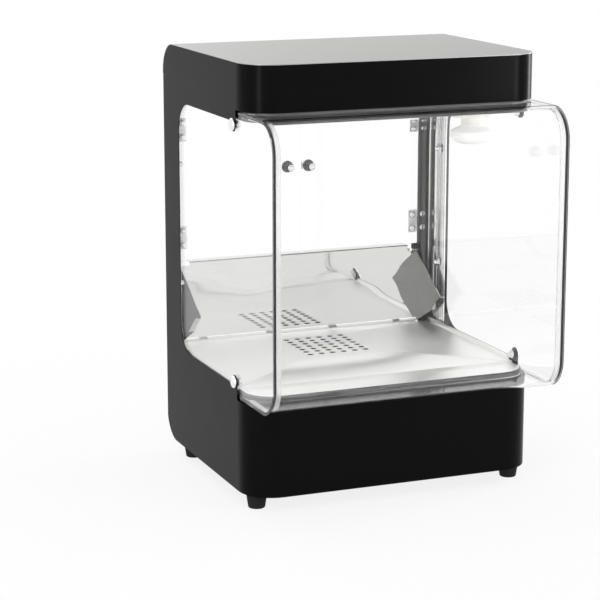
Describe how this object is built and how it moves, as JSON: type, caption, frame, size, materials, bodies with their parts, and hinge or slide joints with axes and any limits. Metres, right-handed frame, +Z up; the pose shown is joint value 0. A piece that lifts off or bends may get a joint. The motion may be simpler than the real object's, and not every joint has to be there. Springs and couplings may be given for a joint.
{
  "type": "nacho warming and display cabinet",
  "caption": "Black sheet-metal nacho warmer with a clear bubble visor and side panes, a pierced steel tray, a reflector lamp, clear rear doors and a tilting scoop flap.",
  "frame": {"origin": "on the floor, midway across the width and midway along the overall depth, from the visor's front to the door knobs", "axes": "+Z up; -Y towards the customer, where the visor is; +Y towards the server, where the doors and the flap are; +X to the right as the customer sees it"},
  "size_m": [0.5056, 0.5224, 0.7],
  "materials": {
    "black_paint": "fine satin powder coat",
    "satin_steel": "satin",
    "brushed_steel": "brushed upright",
    "polished_steel": "bright polished",
    "galvanised_steel": "dull zinc plated",
    "element_steel": "heat-darkened",
    "chrome": "bright plated",
    "clear_acrylic": "clear, polished",
    "bulb_glass": "frosted reflector",
    "black_plastic": "satin",
    "white_ceramic": "glazed ceramic",
    "rubber": "matt"
  },
  "bodies": {
    "cabinet": {"left_side_panel": "black_paint", "right_side_panel": "black_paint", "base_front_panel": "black_paint", "fascia_panel": "black_paint", "top_cover": "satin_steel", "rear_base_panel": "black_paint", "rear_upper_panel": "black_paint", "base_plate": "black_paint", "left_post_liner": "brushed_steel", "right_post_liner": "brushed_steel", "floor_tray": "polished_steel", "ceiling_pan": "polished_steel", "left_tray_rail": "galvanised_steel", "right_tray_rail": "galvanised_steel", "front_visor": "clear_acrylic", "left_side_pane": "clear_acrylic", "right_side_pane": "clear_acrylic", "left_lower_visor_bolt": "chrome", "left_upper_visor_bolt": "chrome", "right_lower_visor_bolt": "chrome", "right_upper_visor_bolt": "chrome", "left_lower_pane_nut": "chrome", "left_upper_pane_nut": "chrome", "right_lower_pane_nut": "chrome", "right_upper_pane_nut": "chrome", "front_left_foot": "rubber", "front_right_foot": "rubber", "rear_left_foot": "rubber", "rear_right_foot": "rubber", "lamp_bulb": "bulb_glass", "lamp_holder": "white_ceramic", "heater_box": "galvanised_steel", "heating_element": "element_steel", "thermostat": "black_plastic", "flap_hinge_strip": "brushed_steel", "flap_hinge_rod": "chrome", "flap_stop_bracket": "black_plastic", "flap_stop_pin": "chrome", "left_post_lower_hinge_leaf": "galvanised_steel", "left_post_upper_hinge_leaf": "galvanised_steel", "right_post_lower_hinge_leaf": "galvanised_steel", "right_post_upper_hinge_leaf": "galvanised_steel", "power_inlet": "black_plastic", "light_switch_housing": "black_plastic", "heat_switch_housing": "black_plastic"},
    "left_door_leaf": {"left_door": "clear_acrylic", "left_door_knob": "black_plastic", "left_door_knob_screw": "chrome", "left_door_lower_hinge_leaf": "galvanised_steel", "left_door_upper_hinge_leaf": "galvanised_steel"},
    "right_door_leaf": {"right_door": "clear_acrylic", "right_door_knob": "black_plastic", "right_door_knob_screw": "chrome", "right_door_lower_hinge_leaf": "galvanised_steel", "right_door_upper_hinge_leaf": "galvanised_steel"},
    "scoop_flap": {"rear_flap": "polished_steel"},
    "light_rocker": {"light_switch_rocker": "black_plastic"},
    "heat_rocker": {"heat_switch_rocker": "black_plastic"}
  },
  "joints": [
    {"name": "left_door_hinge", "type": "hinge", "parent": "cabinet", "child": "left_door_leaf", "pos_m": [-0.22125, 0.24215, 0.459], "axis": [0, 0, 1], "range_deg": [0, 160]},
    {"name": "right_door_hinge", "type": "hinge", "parent": "cabinet", "child": "right_door_leaf", "pos_m": [0.22125, 0.24215, 0.459], "axis": [0, 0, -1], "range_deg": [0, 160]},
    {"name": "flap_pivot", "type": "hinge", "parent": "cabinet", "child": "scoop_flap", "pos_m": [0, 0.23585, 0.1885], "axis": [-1, 0, 0], "range_deg": [0, 56]},
    {"name": "light_switch_rock", "type": "hinge", "parent": "cabinet", "child": "light_rocker", "pos_m": [0.112, 0.23735, 0.104], "axis": [-1, 0, 0], "range_deg": [0, 16]},
    {"name": "heat_switch_rock", "type": "hinge", "parent": "cabinet", "child": "heat_rocker", "pos_m": [0.152, 0.23735, 0.104], "axis": [-1, 0, 0], "range_deg": [0, 16]}
  ]
}
